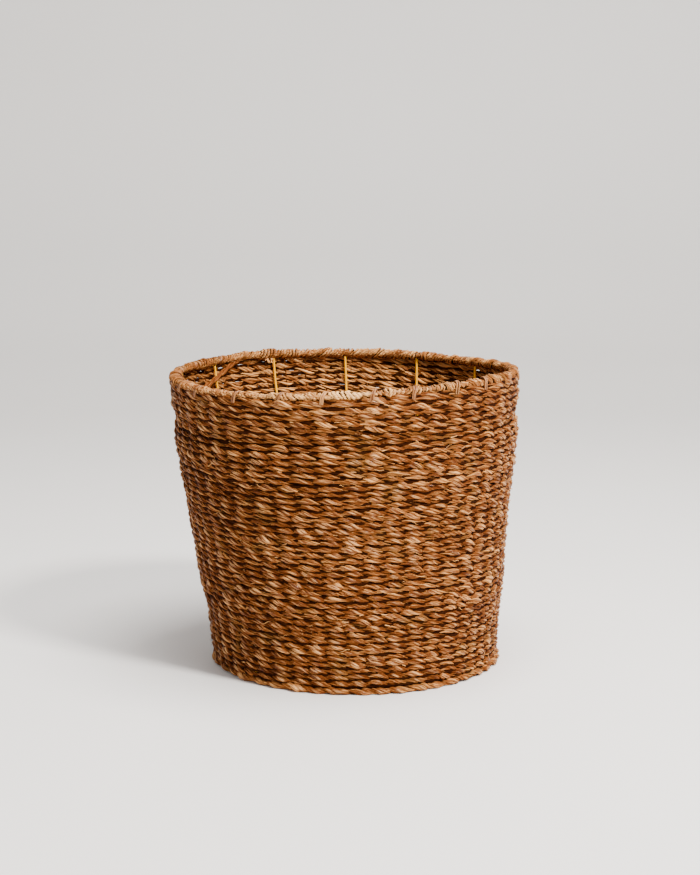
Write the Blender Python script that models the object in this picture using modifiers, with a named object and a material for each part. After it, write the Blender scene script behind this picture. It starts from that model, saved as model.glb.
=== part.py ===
"""Belly basket: a round tapered basket, twined from seagrass over a painted wire frame.

Metres, +Z up. The basket stands on its base. The origin is at floor level, under the middle of the rim.
"""

import math

import bmesh
import bpy
from mathutils import Matrix, Vector

# Driving sizes of the whole basket
RIM_DIAMETER = 0.420
HEIGHT = 0.356
BASE_DIAMETER = 0.3465
CLEARANCE = 0.0003

# The painted wire frame
WIRE_DIAMETER = 0.0028
UPRIGHTS = 13

# The woven wall, the heel course under it and the base inside it
COURSES = 46
COURSE_RELIEF = 0.0027
WALL_THICKNESS = 0.008
WALL_TOP_THICKNESS = 0.0042
TUCK_HEIGHT = 0.030
STAKES = 48
HEEL_THICKNESS = 0.009
HEEL_RELIEF = 0.0016
BASE_THICKNESS = 0.008
BASE_ARCH = 0.004
FOOT_WIDTH = 0.045

# The whipping round the rim, and the strands that lash it to the first courses
WHIPPING_THICKNESS = 0.0028
RIM_ROLL_HEIGHT = 0.0106
LASHINGS = 24
LASHING_DIAMETER = 0.0026
LASHING_REACH = 0.013
LASHING_SLANT = 0.012

# How far a used, hand-made basket is from true: the rim stands off to one side and rides up and down
LEAN = 0.0138
RIM_SADDLE = 0.0037
SADDLE_ANGLE = math.radians(139)
RIM_TILT = 0.0023

# The wall's outline from the heel to the rim: (share of its height, share of its flare)
WALL_OUTLINE_SHARES = (
    (0.000, 0.000),
    (0.050, 0.060),
    (0.139, 0.125),
    (0.248, 0.330),
    (0.396, 0.470),
    (0.535, 0.620),
    (0.653, 0.800),
    (0.752, 0.944),
    (0.817, 1.010),
    (0.862, 0.930),
    (0.905, 1.025),
    (1.000, 1.050),
)

# Facets: three to each upright, so that every upright stands on a corner of the round pieces
TURN_STEPS = 3 * UPRIGHTS
WIRE_SIDES = 6
HEEL_SIDES = 8
LASHING_SIDES = 4
ARC_STEP = math.radians(36)

# Places that follow from the sizes
rim_radius = RIM_DIAMETER / 2
rim_width = 2 * WHIPPING_THICKNESS + WIRE_DIAMETER + WALL_TOP_THICKNESS + 2 * CLEARANCE
rim_ring_radius = rim_radius - rim_width / 2
rim_height = HEIGHT - RIM_ROLL_HEIGHT / 2
hoop_radius = rim_radius - rim_width + WHIPPING_THICKNESS + CLEARANCE + WIRE_DIAMETER / 2
belly_radius = rim_radius - WHIPPING_THICKNESS
wall_top = HEIGHT - RIM_ROLL_HEIGHT - CLEARANCE
wall_bottom = HEEL_THICKNESS + CLEARANCE
wall_bottom_radius = BASE_DIAMETER / 2
wall_height = wall_top - wall_bottom
foot_hoop_height = BASE_THICKNESS + CLEARANCE + WIRE_DIAMETER / 2
facet_sag = rim_radius * (1 - math.cos(math.pi / TURN_STEPS))


def flare_at(share):
    """Share of the flare at a share of the wall's height, on a smooth curve through the outline."""
    points = WALL_OUTLINE_SHARES
    last = len(points) - 1
    here = 0
    while here < last - 1 and share > points[here + 1][0]:
        here += 1

    def slope(i):
        low, high = points[max(i - 1, 0)], points[min(i + 1, last)]
        return (high[1] - low[1]) / (high[0] - low[0])

    low, high = points[here], points[here + 1]
    span = high[0] - low[0]
    t = (share - low[0]) / span
    start = (1 + 2 * t) * (1 - t) ** 2 * low[1] + t * (1 - t) ** 2 * span * slope(here)
    end = t * t * (3 - 2 * t) * high[1] - t * t * (1 - t) * span * slope(here + 1)
    return start + end


def outer_radius(share):
    """Outer radius of the wall at a share of its height."""
    return wall_bottom_radius + (belly_radius - wall_bottom_radius) * flare_at(share)


def wall_thickness(share):
    """Thickness of the wall. Near the top it thins, which leaves room for the wires."""
    tuck_share = TUCK_HEIGHT / wall_height
    tucked = max(0.0, (share - 1 + tuck_share) / tuck_share)
    return WALL_THICKNESS + (WALL_TOP_THICKNESS - WALL_THICKNESS) * tucked


def inner_radius(share):
    """Inner radius of the wall at a share of its height."""
    return outer_radius(share) - wall_thickness(share)


def groove_radius(share):
    """Radius of the groove between two courses, shallower where the wall is thin."""
    return outer_radius(share) - COURSE_RELIEF * wall_thickness(share) / WALL_THICKNESS


def upright_radius(share):
    """Radius of an upright's middle line where it lies against the wall."""
    return inner_radius(share) - CLEARANCE - WIRE_DIAMETER / 2


def wall_z(share):
    """Height above the floor at a share of the wall's height."""
    return wall_bottom + wall_height * share


def wall_share(height):
    """Share of the wall's height at a height above the floor."""
    return (height - wall_bottom) / wall_height


def material(name, colour, roughness, metallic=0.0):
    """A plain finish."""
    finish = bpy.data.materials.new(name)
    finish.use_nodes = True
    shader = finish.node_tree.nodes["Principled BSDF"]
    shader.inputs["Base Color"].default_value = (*colour, 1)
    shader.inputs["Roughness"].default_value = roughness
    shader.inputs["Metallic"].default_value = metallic
    return finish


def settle(mesh):
    """Leans the mesh and lets it ride up and down with the rim. The base stays flat on the floor."""
    mesh.transform(Matrix.Shear("XY", 4, (-LEAN / rim_height, 0)))
    mesh.transform(Matrix.Translation(Vector((LEAN, 0, 0))))
    for vertex in mesh.vertices:
        x, y, z = vertex.co
        angle = math.atan2(y, x)
        ride = RIM_SADDLE * math.cos(2 * (angle - SADDLE_ANGLE)) + RIM_TILT * math.cos(angle)
        vertex.co.z = z + ride * (z / rim_height) ** 2


def add_piece(name, build, finish):
    """Takes the evaluated shape of a build object, settles it and links it as a piece of the basket."""
    bpy.context.scene.collection.objects.link(build)
    graph = bpy.context.evaluated_depsgraph_get()
    mesh = bpy.data.meshes.new_from_object(build.evaluated_get(graph))
    bpy.data.objects.remove(build)
    weld = bmesh.new()
    weld.from_mesh(mesh)
    bmesh.ops.remove_doubles(weld, verts=weld.verts, dist=CLEARANCE / 10)
    weld.to_mesh(mesh)
    weld.free()
    settle(mesh)
    mesh.shade_smooth()
    mesh.set_sharp_from_angle(angle=math.radians(40))
    mesh.materials.clear()
    mesh.materials.append(finish)
    piece = bpy.data.objects.new(name, mesh)
    basket.objects.link(piece)
    return piece


def turned(name, section, closed, finish):
    """A profile turned round the basket's axis. Its points are (radius, height), outer side first, downwards."""
    mesh = bpy.data.meshes.new(name)
    points = [(0, radius, height) for radius, height in section]
    edges = [(i, i + 1) for i in range(len(points) - 1)]
    if closed:
        edges.append((len(points) - 1, 0))
    mesh.from_pydata(points, edges, [])
    build = bpy.data.objects.new(name + "_profile", mesh)
    screw = build.modifiers.new("turn", "SCREW")
    screw.steps = TURN_STEPS
    screw.render_steps = TURN_STEPS
    screw.use_merge_vertices = True
    screw.merge_threshold = CLEARANCE / 10
    return add_piece(name, build, finish)


def tube(name, route, diameters, sides, cyclic, finish):
    """Round wire or strand along a route, with a diameter at each point, as a curve with a bevel."""
    curve = bpy.data.curves.new(name, "CURVE")
    curve.dimensions = "3D"
    curve.bevel_depth = max(diameters) / 2
    curve.bevel_resolution = (sides - 4) // 2
    curve.use_fill_caps = True
    spline = curve.splines.new("POLY")
    spline.points.add(len(route) - 1)
    for point, place, diameter in zip(spline.points, route, diameters):
        point.co = (*place, 1)
        point.radius = diameter / max(diameters)
    spline.use_cyclic_u = cyclic
    return add_piece(name, bpy.data.objects.new(name + "_route", curve), finish)


def polar(radius, angle, height):
    """A point at a radius, an angle and a height. Angle 0 is the back of the basket."""
    return Vector((-radius * math.sin(angle), radius * math.cos(angle), height))


def ring_route(radius, height, steps):
    """A closed round route with its corners evenly spaced."""
    return [polar(radius, math.tau * i / steps, height) for i in range(steps)]


def arc(centre, half_width, half_height, start, end):
    """Points of an oval arc round (radius, height), from one angle to another, both included."""
    steps = max(1, round(abs(end - start) / ARC_STEP))
    angles = [start + (end - start) * i / steps for i in range(steps + 1)]
    return [(centre[0] + half_width * math.cos(a), centre[1] + half_height * math.sin(a)) for a in angles]


def frame_pieces(paint):
    """Two hoops, and the uprights that stand on the lower one and end under the upper one."""
    wire = [WIRE_DIAMETER] * TURN_STEPS
    hoop = ring_route(hoop_radius, rim_height, TURN_STEPS)
    tube("frame_top_hoop", hoop, wire, WIRE_SIDES, True, paint)
    foot_radius = upright_radius(wall_share(foot_hoop_height))
    foot = ring_route(foot_radius, foot_hoop_height, TURN_STEPS)
    tube("frame_bottom_hoop", foot, wire, WIRE_SIDES, True, paint)

    reach = WIRE_DIAMETER / 2 + CLEARANCE
    start = foot_hoop_height + reach
    shares = [share for share, _ in WALL_OUTLINE_SHARES if wall_z(share) > start + WIRE_DIAMETER]
    heights = [start] + [wall_z(share) for share in shares if share < 1]
    for number in range(UPRIGHTS):
        angle = math.tau * number / UPRIGHTS
        route = [polar(upright_radius(wall_share(z)), angle, z) for z in heights]
        route.append(polar(hoop_radius, angle, wall_top))
        route.append(polar(hoop_radius, angle, rim_height - reach))
        name = f"frame_upright_{number + 1:02d}"
        tube(name, route, [WIRE_DIAMETER] * len(route), WIRE_SIDES, False, paint)


def wall_piece(seagrass):
    """The woven wall: a neck under the rim, the belly below it, and a round ridge outside for each course."""
    outer = [(outer_radius(1), wall_z(1))]
    for course in reversed(range(COURSES)):
        crest, groove = (course + 0.5) / COURSES, course / COURSES
        outer.append((outer_radius(crest), wall_z(crest)))
        outer.append((groove_radius(groove), wall_z(groove)))
    inner = [(inner_radius(share), wall_z(share)) for share, _ in WALL_OUTLINE_SHARES]
    turned("woven_wall", outer + inner, True, seagrass)


def heel_piece(seagrass):
    """The thicker course that the wall stands on. It swells round each stake and is slimmer between."""
    steps = 2 * STAKES
    route = ring_route(wall_bottom_radius - HEEL_THICKNESS / 2, HEEL_THICKNESS / 2, steps)
    diameters = [HEEL_THICKNESS - 2 * HEEL_RELIEF * (i % 2) for i in range(steps)]
    tube("heel_course", route, diameters, HEEL_SIDES, True, seagrass)


def base_piece(seagrass):
    """The woven base: a flat foot round an arched middle, which keeps it from rocking."""
    edge = wall_bottom_radius - HEEL_THICKNESS - CLEARANCE
    arch_radius = edge - FOOT_WIDTH
    bend = [i / 3 for i in range(4)]
    rise = [(1 - t * t) * BASE_ARCH for t in bend]
    top = [(arch_radius * t, BASE_THICKNESS + up) for t, up in zip(bend, rise)]
    below = [(arch_radius * t, up) for t, up in zip(bend, rise)]
    section = top + [(edge, BASE_THICKNESS), (edge, 0)] + below[::-1]
    turned("woven_base", section, False, seagrass)


def rim_piece(pale):
    """The whipped rim: an oval roll over the top hoop, slit below where the uprights come in."""
    roll = (rim_width / 2, RIM_ROLL_HEIGHT / 2)
    middle = (rim_ring_radius, rim_height)
    slot = WIRE_DIAMETER / 2 + CLEARANCE
    right = hoop_radius + slot - rim_ring_radius
    left = hoop_radius - slot - rim_ring_radius
    outer = arc(middle, *roll, math.pi / 2, -math.acos(right / roll[0]))
    hollow = arc((hoop_radius, rim_height), slot, slot, 0, math.pi)
    inner = arc(middle, *roll, -math.acos(left / roll[0]), -3 * math.pi / 2)
    turned("rim_wrap", outer + hollow + inner[:-1], True, pale)


def lashing_route(angle):
    """One strand: up the outside of the first courses, slanting over the rim and down inside it."""
    stand_off = LASHING_DIAMETER / 2 + CLEARANCE
    roll = (rim_width / 2 + stand_off, RIM_ROLL_HEIGHT / 2 + stand_off)
    foot_share = wall_share(wall_top - LASHING_REACH)
    neck = (outer_radius(1) + stand_off, wall_top)
    section = [(outer_radius(foot_share) + stand_off, wall_z(foot_share)), neck]
    for radius, height in arc((rim_ring_radius, rim_height), *roll, 0, 6 * ARC_STEP):
        inside = max(0.0, (rim_ring_radius - radius) / roll[0])
        section.append((radius - facet_sag * inside, height))
    last = len(section) - 1
    route = []
    for i, (radius, height) in enumerate(section):
        slant = LASHING_SLANT / rim_ring_radius * (i / last - 0.5)
        route.append(polar(radius, angle + slant, height))
    return route


def lashing_pieces(pale):
    """All the lashings, evenly round the rim."""
    for number in range(LASHINGS):
        route = lashing_route(math.tau * (number + 0.5) / LASHINGS)
        name = f"rim_lashing_{number + 1:02d}"
        tube(name, route, [LASHING_DIAMETER] * len(route), LASHING_SIDES, False, pale)


for old in list(bpy.data.objects):
    bpy.data.objects.remove(old)
basket = bpy.data.collections.new("belly_basket")
bpy.context.scene.collection.children.link(basket)

frame_pieces(material("golden_paint", (0.62, 0.30, 0.05), 0.35))
wall_piece(material("seagrass_wall", (0.30, 0.13, 0.055), 0.60))
heel_piece(material("seagrass_heel", (0.25, 0.105, 0.045), 0.65))
base_piece(material("seagrass_base", (0.25, 0.11, 0.05), 0.65))
rim_piece(material("seagrass_whipping", (0.46, 0.24, 0.12), 0.60))
lashing_pieces(material("seagrass_lashing", (0.60, 0.36, 0.21), 0.60))
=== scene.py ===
"""Belly basket: twined seagrass over a golden wire frame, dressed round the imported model.

Every strand is a real twisted strand. The stakes stand inside the wall, pairs of three-ply strands twine
round them course by course, one long strand is wound round the rim, and lashings tie the rim down.
"""

import logging
import math
from dataclasses import dataclass, field
from enum import Enum
from typing import Callable, Iterable

import bmesh
import bpy
import numpy as np
from mathutils import Euler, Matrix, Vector


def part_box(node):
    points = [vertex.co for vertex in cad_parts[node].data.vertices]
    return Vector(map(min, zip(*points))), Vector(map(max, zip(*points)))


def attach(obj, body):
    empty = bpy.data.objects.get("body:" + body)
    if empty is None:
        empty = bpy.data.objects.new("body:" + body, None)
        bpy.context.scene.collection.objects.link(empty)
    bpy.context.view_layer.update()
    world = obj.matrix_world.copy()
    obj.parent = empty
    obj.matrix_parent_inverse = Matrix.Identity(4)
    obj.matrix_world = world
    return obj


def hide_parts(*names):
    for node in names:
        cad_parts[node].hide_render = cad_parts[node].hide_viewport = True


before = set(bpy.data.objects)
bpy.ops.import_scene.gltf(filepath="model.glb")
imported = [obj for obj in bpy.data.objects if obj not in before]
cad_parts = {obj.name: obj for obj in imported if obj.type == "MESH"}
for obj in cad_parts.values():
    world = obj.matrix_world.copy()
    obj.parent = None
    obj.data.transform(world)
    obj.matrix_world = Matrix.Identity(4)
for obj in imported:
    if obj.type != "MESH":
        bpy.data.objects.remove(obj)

LOG = logging.getLogger("belly_basket")
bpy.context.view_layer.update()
SEED = 20817
STAKE_WAVES = (8, 5, 25.0)
TAU = math.tau

Field = Callable[[np.ndarray, np.ndarray], np.ndarray]


class Zone(Enum):
    """The parts of the basket that have a finish of their own, by the name of their finish."""

    FRAME = "golden_paint"
    WALL = "seagrass_wall"
    HEEL = "seagrass_heel"
    BASE = "seagrass_base"
    WHIPPING = "seagrass_whipping"
    LASHING = "seagrass_lashing"


@dataclass(frozen=True)
class BasketShape:
    """The basket's outline, and how far this hand-made one is from true. Metres.

    Angles are measured at the axis from the back of the basket, positive towards its left side. A rim dip
    is its middle and width round the basket in degrees, and how far the rim rises there.
    """

    rim_radius: float = (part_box("rim_wrap")[1].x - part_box("rim_wrap")[0].x) / 2
    base_radius: float = (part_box("heel_course")[1].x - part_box("heel_course")[0].x) / 2
    base_middle: float = (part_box("heel_course")[1].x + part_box("heel_course")[0].x) / 2
    height: float = 0.356
    rim_roll: float = 0.0106
    rim_dips: tuple = ((60.0, 17.0, -0.0028), (-18.0, 22.0, 0.0020))
    whipping: float = 0.0028
    wall_thickness: float = 0.008
    wall_top_thickness: float = 0.0042
    tuck_height: float = 0.030
    heel_thickness: float = 0.009
    base_thickness: float = 0.008
    base_arch: float = 0.004
    foot_width: float = 0.045
    wire: float = 0.0028
    clearance: float = 0.0003
    uprights: int = 13
    stakes: int = 48
    courses: int = 46
    saddle: float = 0.0037
    saddle_angle: float = math.radians(139)
    tilt: float = 0.0023
    outline_shares: tuple = (
        (0.000, 0.000),
        (0.050, 0.060),
        (0.139, 0.125),
        (0.248, 0.330),
        (0.396, 0.470),
        (0.535, 0.620),
        (0.653, 0.800),
        (0.752, 0.944),
        (0.817, 1.010),
        (0.862, 0.930),
        (0.905, 1.025),
        (1.000, 1.050),
    )

    @property
    def rim_width(self) -> float:
        """Width of the rim's roll: the whipping on both sides of the hoop and the wall's top."""
        return 2 * self.whipping + self.wire + self.wall_top_thickness + 2 * self.clearance

    @property
    def rim_height(self) -> float:
        """Height of the middle of the rim's roll."""
        return self.height - self.rim_roll / 2

    @property
    def rim_ring(self) -> float:
        """Radius of the middle line of the rim's roll."""
        return self.rim_radius - self.rim_width / 2

    @property
    def wall_top(self) -> float:
        """Height where the wall ends under the rim."""
        return self.height - self.rim_roll - self.clearance

    @property
    def wall_bottom(self) -> float:
        """Height where the wall stands on the heel course."""
        return self.heel_thickness + self.clearance

    @property
    def hoop_radius(self) -> float:
        """Radius of the top hoop's middle line."""
        inside = self.rim_radius - self.rim_width + self.whipping
        return inside + self.clearance + self.wire / 2

    def outer(self, share: np.ndarray) -> np.ndarray:
        """Outer radius of the wall.

        Args:
            share: share of the wall's height, 0 at the heel and 1 at the rim.

        Returns:
            The radius at each share.
        """
        knots = np.array(self.outline_shares)
        slopes = np.gradient(knots[:, 1], knots[:, 0])
        slopes[1:-1] = (knots[2:, 1] - knots[:-2, 1]) / (knots[2:, 0] - knots[:-2, 0])
        here = np.clip(np.searchsorted(knots[:, 0], share) - 1, 0, len(knots) - 2)
        span = knots[here + 1, 0] - knots[here, 0]
        t = (share - knots[here, 0]) / span
        rise = (1 + 2 * t) * (1 - t) ** 2 * knots[here, 1] + t * (1 - t) ** 2 * span * slopes[here]
        flare = rise + t * t * (3 - 2 * t) * knots[here + 1, 1] - t * t * (1 - t) * span * slopes[here + 1]
        belly = self.rim_radius - self.whipping
        return self.base_radius + (belly - self.base_radius) * flare

    def thickness(self, share: np.ndarray) -> np.ndarray:
        """Thickness of the wall, which thins near the rim to let the wires in.

        Args:
            share: share of the wall's height.

        Returns:
            The thickness at each share.
        """
        tuck = self.tuck_height / (self.wall_top - self.wall_bottom)
        tucked = np.clip((share - 1 + tuck) / tuck, 0, None)
        return self.wall_thickness + (self.wall_top_thickness - self.wall_thickness) * tucked

    def wall_z(self, share: np.ndarray) -> np.ndarray:
        """Height above the floor at a share of the wall's height."""
        return self.wall_bottom + (self.wall_top - self.wall_bottom) * share

    def share_at(self, height: np.ndarray) -> np.ndarray:
        """Share of the wall's height at a height above the floor."""
        return (height - self.wall_bottom) / (self.wall_top - self.wall_bottom)

    def inner_at(self, height: np.ndarray) -> np.ndarray:
        """Inner radius of the wall at a height above the floor."""
        share = np.clip(self.share_at(height), 0, 1)
        return self.outer(share) - self.thickness(share)

    def place(self, radius: np.ndarray, angle: np.ndarray, height: np.ndarray) -> np.ndarray:
        """Points of the true basket, moved to where they are on this leaning one.

        Args:
            radius: distances from the axis.
            angle: angles from the back, positive towards the left side.
            height: heights above the floor.

        Returns:
            An array of points, one row each.
        """
        x, y = -radius * np.sin(angle), radius * np.cos(angle)
        x = x + self.base_middle * (1 - height / self.rim_height)
        turn = np.arctan2(y, x)
        ride = self.saddle * np.cos(2 * (turn - self.saddle_angle)) + self.tilt * np.cos(turn)
        for middle, width, most in self.rim_dips:
            away = np.degrees((angle - math.radians(middle) + math.pi) % TAU - math.pi)
            ride = ride + most * np.exp(-((away / width) ** 2))
        z = height + ride * np.clip(height / self.rim_height, 0, None) ** 2
        return np.stack(np.broadcast_arrays(x, y, z), axis=1)

    @staticmethod
    def outward(angle: np.ndarray) -> np.ndarray:
        """Unit vectors away from the axis at each angle."""
        return np.column_stack([-np.sin(angle), np.cos(angle), 0 * angle])

    @staticmethod
    def upward(angle: np.ndarray) -> np.ndarray:
        """Unit vectors straight up, one for each angle."""
        return np.tile((0.0, 0.0, 1.0), (len(angle), 1))


class Chance:
    """The one source of chance in the scene, seeded so that every run is the same."""

    most_spreads: float = 2.2
    ripple_peak: float = 1.6

    def __init__(self, seed: int) -> None:
        """Starts the generator."""
        self.rng = np.random.default_rng(seed)

    def ring(self, count: int, spread: float) -> np.ndarray:
        """Normal values round a ring, softly clipped."""
        most = self.most_spreads * spread
        return np.clip(self.rng.normal(0, spread, count), -most, most)

    def pick(self, ends: tuple) -> float:
        """A value between two ends."""
        return self.rng.uniform(*ends)

    def either_way(self) -> int:
        """-1 or 1."""
        return self.rng.choice((-1, 1))

    def along(self, knots: np.ndarray, samples: np.ndarray) -> np.ndarray:
        """Reads values that go round a ring, eased from one to the next.

        Args:
            knots: values round the ring.
            samples: places on the ring, counted in knots.

        Returns:
            The value at each place.
        """
        low = np.floor(samples).astype(int)
        t = samples - low
        t = t * t * (3 - 2 * t)
        return knots[low % len(knots)] * (1 - t) + knots[(low + 1) % len(knots)] * t

    def eased(self, count: int, spread: float, samples: np.ndarray) -> np.ndarray:
        """Draws values round a ring and reads them.

        Args:
            count: how many values the ring has.
            spread: their spread about 0.
            samples: places on the ring, counted in values.

        Returns:
            The value at each place.
        """
        return self.along(self.ring(count, spread), samples)

    def ripple(self, terms: int, most_round: int, most_up: float) -> Field:
        """A smooth field over the wall that meets itself round the basket.

        Args:
            terms: how many waves are added.
            most_round: most waves round the basket.
            most_up: most radians of wave per metre of height.

        Returns:
            A function of angle and height, about -1 to 1.
        """
        turns = self.rng.integers(1, most_round + 1, terms)
        climbs = self.rng.uniform(-most_up, most_up, terms)
        starts = self.rng.uniform(0, TAU, terms)

        def read(angle: np.ndarray, height: np.ndarray) -> np.ndarray:
            """Adds the waves at each angle and height."""
            waves = np.cos(np.multiply.outer(angle, turns) + np.multiply.outer(height, climbs) + starts)
            return waves.sum(axis=-1) / math.sqrt(terms / 2) / self.ripple_peak

        return read


@dataclass(frozen=True)
class Relief:
    """Where the middle line of a strand lies in the weave, which tells the crests from the crossings. By it
    the finish paints shade into the crossings, hollows and grooves, and highlights onto the crests.
    """

    outward: np.ndarray
    through: np.ndarray
    crest: float
    hollow: float = 0.0
    painted_light_inside: float = 0.0
    from_core: np.ndarray | None = None
    core_reach: np.ndarray | None = None
    groove: tuple = (0.34, 0.60)
    groove_share: float = 0.42

    def stands(self, offsets: np.ndarray, sides: int) -> np.ndarray:
        """Tells how far outward of the middle of the weave the surface of the strand stands.

        Args:
            offsets: from the middle line to each surface point.
            sides: surface points for each point of the middle line.

        Returns:
            The distance, below 0 on the inner face.
        """
        lift = (np.repeat(self.outward, sides, axis=0) * offsets).sum(axis=1)
        return np.repeat(self.through, sides) + lift

    def depth(self, offsets: np.ndarray, sides: int) -> np.ndarray:
        """Tells the crests from the hollows and from the grooves between two plies.

        Args:
            offsets: from the middle line to each surface point.
            sides: surface points for each point of the middle line.

        Returns:
            1 on the crests and 0 in the hollows and grooves.
        """
        height = (np.abs(self.stands(offsets, sides)) - self.hollow) / (self.crest - self.hollow)
        if self.from_core is None:
            return height
        # The grooves between two plies are counted as deep, so that the finish paints shade into them.
        away = np.linalg.norm(np.repeat(self.from_core, sides, axis=0) + offsets, axis=1)
        low, high = self.groove
        out = np.clip((away / np.repeat(self.core_reach, sides) - low) / (high - low), 0, 1)
        return height * (1 - self.groove_share * (1 - out))

    def tint(self, offsets: np.ndarray, sides: int) -> np.ndarray:
        """Tells how much paler the surface is painted where it faces inward, as painted light on the inner
        faces. The arguments are those of stands.
        """
        return self.painted_light_inside * np.clip(-2 * self.stands(offsets, sides) / self.crest, 0, 1)


@dataclass
class Route:
    """The middle line of one strand, with what its surface needs to know at each point."""

    points: np.ndarray
    radii: np.ndarray
    tone: np.ndarray
    relief: Relief | None
    closed: bool


class StrandPiece:
    """Strands that are made into one mesh: a bevelled curve along every route, then a mesh with attributes.

    The fibres of each strand start some metres further along the pattern than those of the one before.
    """

    stretch: float = 3.7
    cap_value: float = 0.5
    weld: float = 1e-6

    def __init__(self, name: str, sides: int) -> None:
        """Starts an empty piece.

        Args:
            name: the piece's name.
            sides: sides of each strand, 4 or an even number above it.
        """
        self.name = name
        self.sides = sides
        self.routes: list[Route] = []

    def add(
        self,
        points: np.ndarray,
        radii: np.ndarray | float,
        tone: np.ndarray | float = 0.5,
        relief: Relief | None = None,
        closed: bool = False,
    ) -> None:
        """Adds one strand.

        Args:
            points: its middle line.
            radii: its radius at each point.
            tone: how pale it is, 0 to 1.
            relief: how it lies in the weave. Without it the strand lies open.
            closed: whether it meets itself.
        """
        ones = np.ones(len(points))
        self.routes.append(Route(points, radii * ones, tone * ones, relief, closed))

    def curve(self) -> bpy.types.Object:
        """Makes the curve object with one spline for each route.

        Returns:
            The object, not linked yet.
        """
        curve = bpy.data.curves.new(self.name, "CURVE")
        curve.dimensions = "3D"
        curve.bevel_depth = 1.0
        curve.bevel_resolution = (self.sides - 4) // 2
        curve.use_fill_caps = True
        for route in self.routes:
            spline = curve.splines.new("POLY")
            spline.points.add(len(route.points) - 1)
            places = np.column_stack([route.points, np.ones(len(route.points))])
            spline.points.foreach_set("co", places.astype(np.float32).ravel())
            spline.points.foreach_set("radius", route.radii.astype(np.float32))
            spline.use_cyclic_u = route.closed
        return bpy.data.objects.new(self.name + "_route", curve)

    def surface(self, places: np.ndarray) -> dict[str, np.ndarray]:
        """Works out the surface attributes, in the order of the tubes' vertices.

        Args:
            places: where the tubes' vertices are.

        Returns:
            tone and depth as numbers, and strand as (place along, two places across) in metres.
        """
        sides = self.sides
        around = np.arange(sides) * TAU / sides
        tone, depth, strand = [], [], []
        first = 0
        for number, route in enumerate(self.routes):
            steps = np.linalg.norm(np.diff(route.points, axis=0), axis=1)
            along = np.concatenate([[0.0], np.cumsum(steps)]) + number * self.stretch
            across = np.repeat(route.radii, sides)
            turn = np.tile(around, len(route.points))
            parts = (np.repeat(along, sides), across * np.cos(turn), across * np.sin(turn))
            strand.append(np.column_stack(parts))
            last = first + len(across)
            offsets = places[first:last] - np.repeat(route.points, sides, axis=0)
            relief = route.relief
            tone.append(np.repeat(route.tone, sides) + (relief.tint(offsets, sides) if relief else 0.0))
            depth.append(relief.depth(offsets, sides) if relief else np.ones(len(across)))
            first = last
        found = {"tone": tone, "depth": depth, "strand": strand}
        return {name: np.concatenate(values) for name, values in found.items()}

    def build(self) -> bpy.types.Object:
        """Makes the mesh object, at the origin, with its attributes.

        Returns:
            The finished object, linked to the scene.
        """
        source = self.curve()
        bpy.context.scene.collection.objects.link(source)
        graph = bpy.context.evaluated_depsgraph_get()
        mesh = bpy.data.meshes.new_from_object(source.evaluated_get(graph))
        bpy.data.objects.remove(source)
        mesh.name = self.name
        capped = sum(2 * self.sides for route in self.routes if not route.closed)
        places = np.empty(3 * len(mesh.vertices), dtype=np.float32)
        mesh.vertices.foreach_get("co", places)
        for name, value in self.surface(places.reshape(-1, 3)[capped:]).items():
            vector = value.ndim == 2
            layer = mesh.attributes.new(name, "FLOAT_VECTOR" if vector else "FLOAT", "POINT")
            ends = np.full((capped, *value.shape[1:]), self.cap_value)
            every = np.concatenate([ends, value]).astype(np.float32)
            layer.data.foreach_set("vector" if vector else "value", every.ravel())
        if capped:
            self.close_ends(mesh)
        mesh.shade_smooth()
        piece = bpy.data.objects.new(self.name, mesh)
        bpy.context.scene.collection.objects.link(piece)
        return piece

    def close_ends(self, mesh: bpy.types.Mesh) -> None:
        """Welds the loose caps of the open strands to their tubes.

        Args:
            mesh: the mesh with the caps.
        """
        work = bmesh.new()
        work.from_mesh(mesh)
        bmesh.ops.remove_doubles(work, verts=work.verts, dist=self.weld)
        bmesh.ops.recalc_face_normals(work, faces=work.faces)
        work.to_mesh(mesh)
        work.free()


class Signal:
    """A shader socket that takes arithmetic: each operator adds one Math node."""

    def __init__(self, graph: "Graph", socket: bpy.types.NodeSocket) -> None:
        """Wraps an output socket of a graph."""
        self.graph = graph
        self.socket = socket

    def maths(self, operation: str, *others: "Signal | float", swap: bool = False) -> "Signal":
        """Adds a Math node.

        Args:
            operation: Blender's name of the operation.
            others: the other operands.
            swap: whether this one comes after the first of the others.

        Returns:
            The node's result.
        """
        operands = [self, *others]
        if swap:
            operands[0], operands[1] = operands[1], operands[0]
        return self.graph.node("ShaderNodeMath", {"operation": operation}, dict(enumerate(operands)))

    def __add__(self, other: "Signal | float") -> "Signal":
        """This plus the other."""
        return self.maths("ADD", other)

    def __sub__(self, other: "Signal | float") -> "Signal":
        """This minus the other."""
        return self.maths("SUBTRACT", other)

    def __mul__(self, other: "Signal | float") -> "Signal":
        """This times the other."""
        return self.maths("MULTIPLY", other)

    def __rsub__(self, other: "Signal | float") -> "Signal":
        """The other minus this."""
        return self.maths("SUBTRACT", other, swap=True)

    __radd__ = __add__
    __rmul__ = __mul__

    def clamp(self) -> "Signal":
        """This, held between 0 and 1."""
        return self.graph.node("ShaderNodeClamp", {}, {"Value": self})

    def between(self, low: float, high: float) -> "Signal":
        """A mask that is 0 up to low, 1 from high, and eased between them.

        Args:
            low: where it leaves 0.
            high: where it reaches 1.

        Returns:
            The mask.
        """
        settings = {"interpolation_type": "SMOOTHSTEP"}
        inputs = {"Value": self, "From Min": low, "From Max": high}
        return self.graph.node("ShaderNodeMapRange", settings, inputs)


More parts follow.
